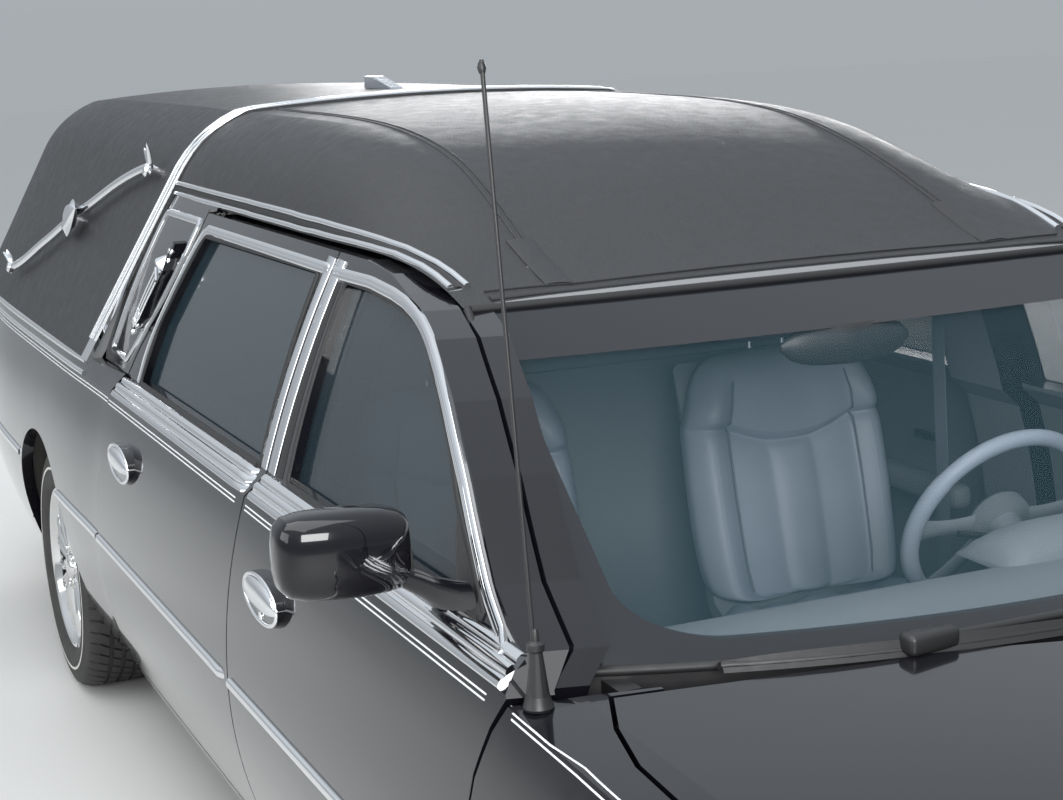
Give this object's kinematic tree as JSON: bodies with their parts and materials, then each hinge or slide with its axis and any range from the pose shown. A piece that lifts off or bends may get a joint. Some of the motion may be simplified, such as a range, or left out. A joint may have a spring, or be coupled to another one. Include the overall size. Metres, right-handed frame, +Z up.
{
  "type": "hearse",
  "caption": "Long funeral car with a raised vinyl-covered roof, chrome band and scroll bars, hinged doors, bonnet and rear gate, steered front wheels and a casket deck.",
  "frame": {"origin": "on the ground under the middle of the car's overall box", "axes": "+X towards the nose, +Y to the car's own left, +Z up; ground at Z = 0"},
  "size_m": [6.43, 2.174, 1.8064],
  "materials": {
    "black_paint": "gloss",
    "vinyl": "grained satin",
    "chrome": "polished",
    "glass": "polished",
    "lamp_lens": "clear",
    "red_lens": "gloss",
    "black_plastic": "satin",
    "grey_plastic": "satin",
    "grey_leather": "satin",
    "carpet": "matt",
    "body_steel": "satin",
    "cast_metal": "rough",
    "tyre": "matt",
    "chrome_rim": "polished"
  },
  "bodies": {
    "body": {"antennas": "black_plastic", "body_side_frame": "body_steel", "coach_lamps": "chrome", "corner_panels": "black_paint", "cowl": "black_plastic", "dashboard": "grey_plastic", "engine_block": "cast_metal", "exhaust_and_tank": "cast_metal", "floor_pan": "body_steel", "front_bumper": "black_paint", "front_fenders": "black_paint", "front_seats": "grey_leather", "front_subframe": "cast_metal", "grille": "chrome", "headlamps": "lamp_lens", "landau_bars": "chrome", "landau_roof": "vinyl", "load_deck": "carpet", "partition": "grey_plastic", "quarter_panels": "black_paint", "rear_bumper": "black_paint", "rear_suspension": "cast_metal", "roof_band": "chrome", "roof_cap": "vinyl", "steering_wheel": "black_plastic", "tail_lamps": "red_lens", "windshield": "glass", "wipers": "black_plastic"},
    "hood": {"hood": "black_paint"},
    "tailgate": {"tailgate": "black_paint", "tailgate_glass": "glass"},
    "door_front_right": {"door_front_right": "black_paint", "door_glass_front_right": "glass", "mirror_right": "black_paint"},
    "door_rear_right": {"door_rear_right": "black_paint", "door_glass_rear_right": "glass"},
    "knuckle_right": {"knuckle_right": "cast_metal"},
    "wheel_front_right": {"tyre_front_right": "tyre", "rim_front_right": "chrome_rim"},
    "wheel_rear_right": {"tyre_rear_right": "tyre", "rim_rear_right": "chrome_rim"},
    "door_front_left": {"door_front_left": "black_paint", "door_glass_front_left": "glass", "mirror_left": "black_paint"},
    "door_rear_left": {"door_rear_left": "black_paint", "door_glass_rear_left": "glass"},
    "knuckle_left": {"knuckle_left": "cast_metal"},
    "wheel_front_left": {"tyre_front_left": "tyre", "rim_front_left": "chrome_rim"},
    "wheel_rear_left": {"tyre_rear_left": "tyre", "rim_rear_left": "chrome_rim"}
  },
  "joints": [
    {"name": "hood_lift", "type": "hinge", "parent": "body", "child": "hood", "pos_m": [1.786, 0, 1], "axis": [0, -1, 0], "range_deg": [0, 48]},
    {"name": "tailgate_swing", "type": "hinge", "parent": "body", "child": "tailgate", "pos_m": [-3.18, 0.632, 0.9], "axis": [0, 0, -1], "range_deg": [0, 90]},
    {"name": "door_front_right_swing", "type": "hinge", "parent": "body", "child": "door_front_right", "pos_m": [1.79, -0.955, 0.6], "axis": [0, 0, 1], "range_deg": [0, 65]},
    {"name": "door_rear_right_swing", "type": "hinge", "parent": "body", "child": "door_rear_right", "pos_m": [0.562, -0.955, 0.6], "axis": [0, 0, 1], "range_deg": [0, 65]},
    {"name": "door_front_left_swing", "type": "hinge", "parent": "body", "child": "door_front_left", "pos_m": [1.79, 0.955, 0.6], "axis": [0, 0, -1], "range_deg": [0, 65]},
    {"name": "door_rear_left_swing", "type": "hinge", "parent": "body", "child": "door_rear_left", "pos_m": [0.562, 0.955, 0.6], "axis": [0, 0, -1], "range_deg": [0, 65]},
    {"name": "steer_right", "type": "hinge", "parent": "body", "child": "knuckle_right", "pos_m": [2.185, -0.74, 0.349], "axis": [0, 0, 1], "range_deg": [-35, 35]},
    {"name": "steer_left", "type": "hinge", "parent": "body", "child": "knuckle_left", "pos_m": [2.185, 0.74, 0.349], "axis": [0, 0, 1], "range_deg": [-35, 35]},
    {"name": "wheel_front_right_spin", "type": "hinge", "parent": "knuckle_right", "child": "wheel_front_right", "pos_m": [2.185, -0.79, 0.349], "axis": [0, 1, 0], "continuous": true},
    {"name": "wheel_rear_right_spin", "type": "hinge", "parent": "body", "child": "wheel_rear_right", "pos_m": [-1.531, -0.79, 0.349], "axis": [0, 1, 0], "continuous": true},
    {"name": "wheel_front_left_spin", "type": "hinge", "parent": "knuckle_left", "child": "wheel_front_left", "pos_m": [2.185, 0.79, 0.349], "axis": [0, 1, 0], "continuous": true},
    {"name": "wheel_rear_left_spin", "type": "hinge", "parent": "body", "child": "wheel_rear_left", "pos_m": [-1.531, 0.79, 0.349], "axis": [0, 1, 0], "continuous": true}
  ],
  "couplings": [
    {"joint": "steer_left", "follows": "steer_right", "ratio": 1}
  ]
}
